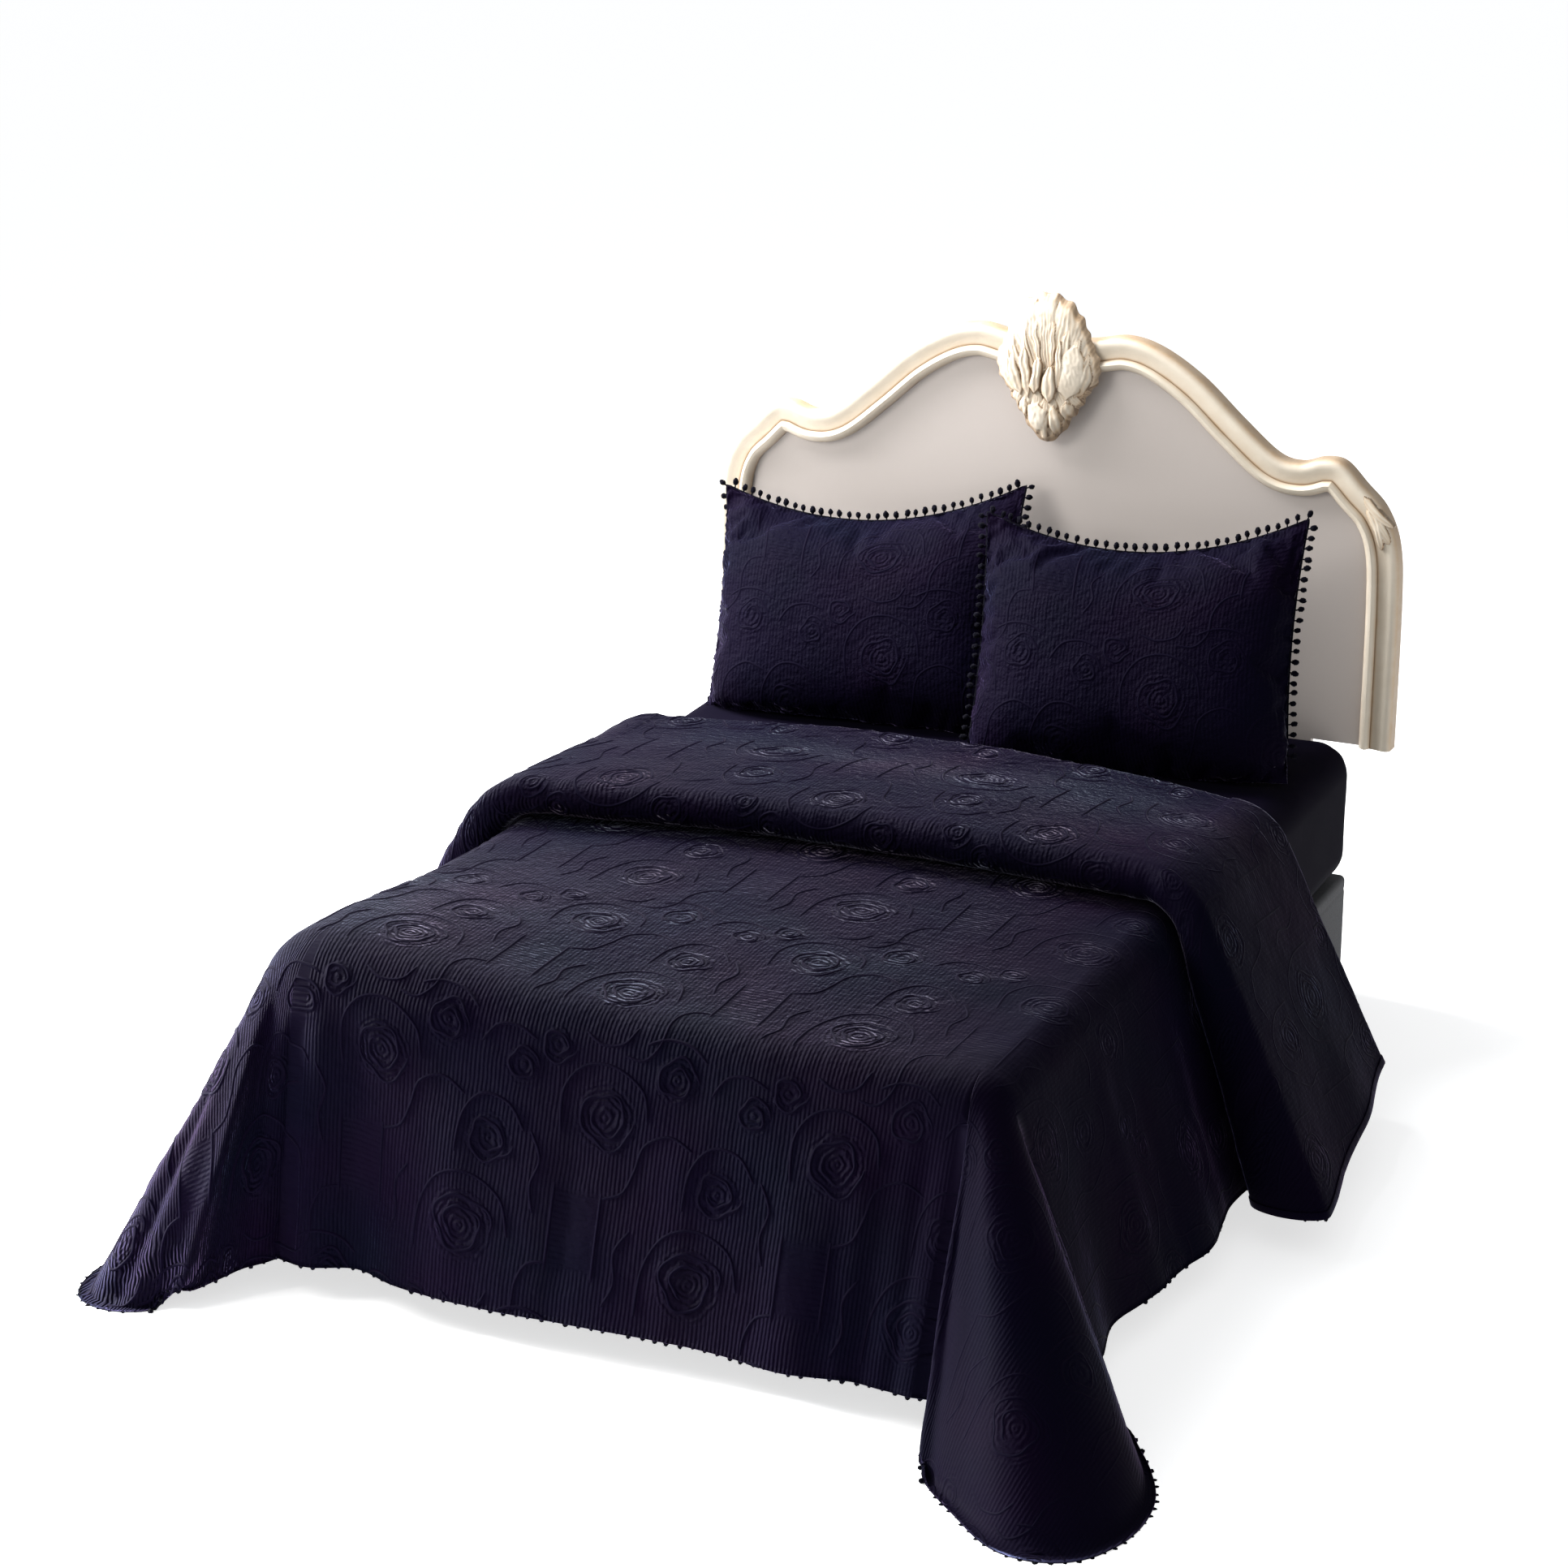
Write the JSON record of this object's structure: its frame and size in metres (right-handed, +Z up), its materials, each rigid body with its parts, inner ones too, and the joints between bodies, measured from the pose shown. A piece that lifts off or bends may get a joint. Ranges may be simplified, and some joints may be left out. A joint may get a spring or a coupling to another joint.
{
  "type": "bedspread set with pillow shams on a bed",
  "caption": "Quilted bedspread with pompom trim, turned back in a band over a double bed, with matching filled shams and a moulded headboard.",
  "frame": {"origin": "on the floor at the centre of the bed base's underside", "axes": "+Z up; -Y from the centre towards the foot of the bed; +X to the right side as seen from the foot"},
  "size_m": [2.1228, 2.5463, 1.475],
  "materials": {
    "quilted_cloth": "soft matte quilted microfibre, near-black navy",
    "pompom_yarn": "fuzzy matte yarn",
    "fitted_sheet": "smooth matte cloth",
    "base_fabric": "plain woven upholstery",
    "board_panel": "smooth beige-grey satin paint",
    "cream_paint": "cream paint with a thin brown wash in the carving",
    "plain_wood": "planed softwood"
  },
  "bodies": {
    "root": {"bedspread": "quilted_cloth", "spread_trim_hem": "pompom_yarn", "spread_trim_flap_left": "pompom_yarn", "spread_trim_flap_right": "pompom_yarn", "sham_left": "quilted_cloth", "sham_left_trim": "pompom_yarn", "sham_right": "quilted_cloth", "sham_right_trim": "pompom_yarn", "mattress_in_fitted_sheet": "fitted_sheet", "bed_base": "base_fabric", "headboard_panel": "board_panel", "headboard_frame_left": "cream_paint", "headboard_frame_right": "cream_paint", "headboard_crest": "cream_paint", "headboard_leg_left": "plain_wood", "headboard_leg_right": "plain_wood"}
  },
  "joints": []
}
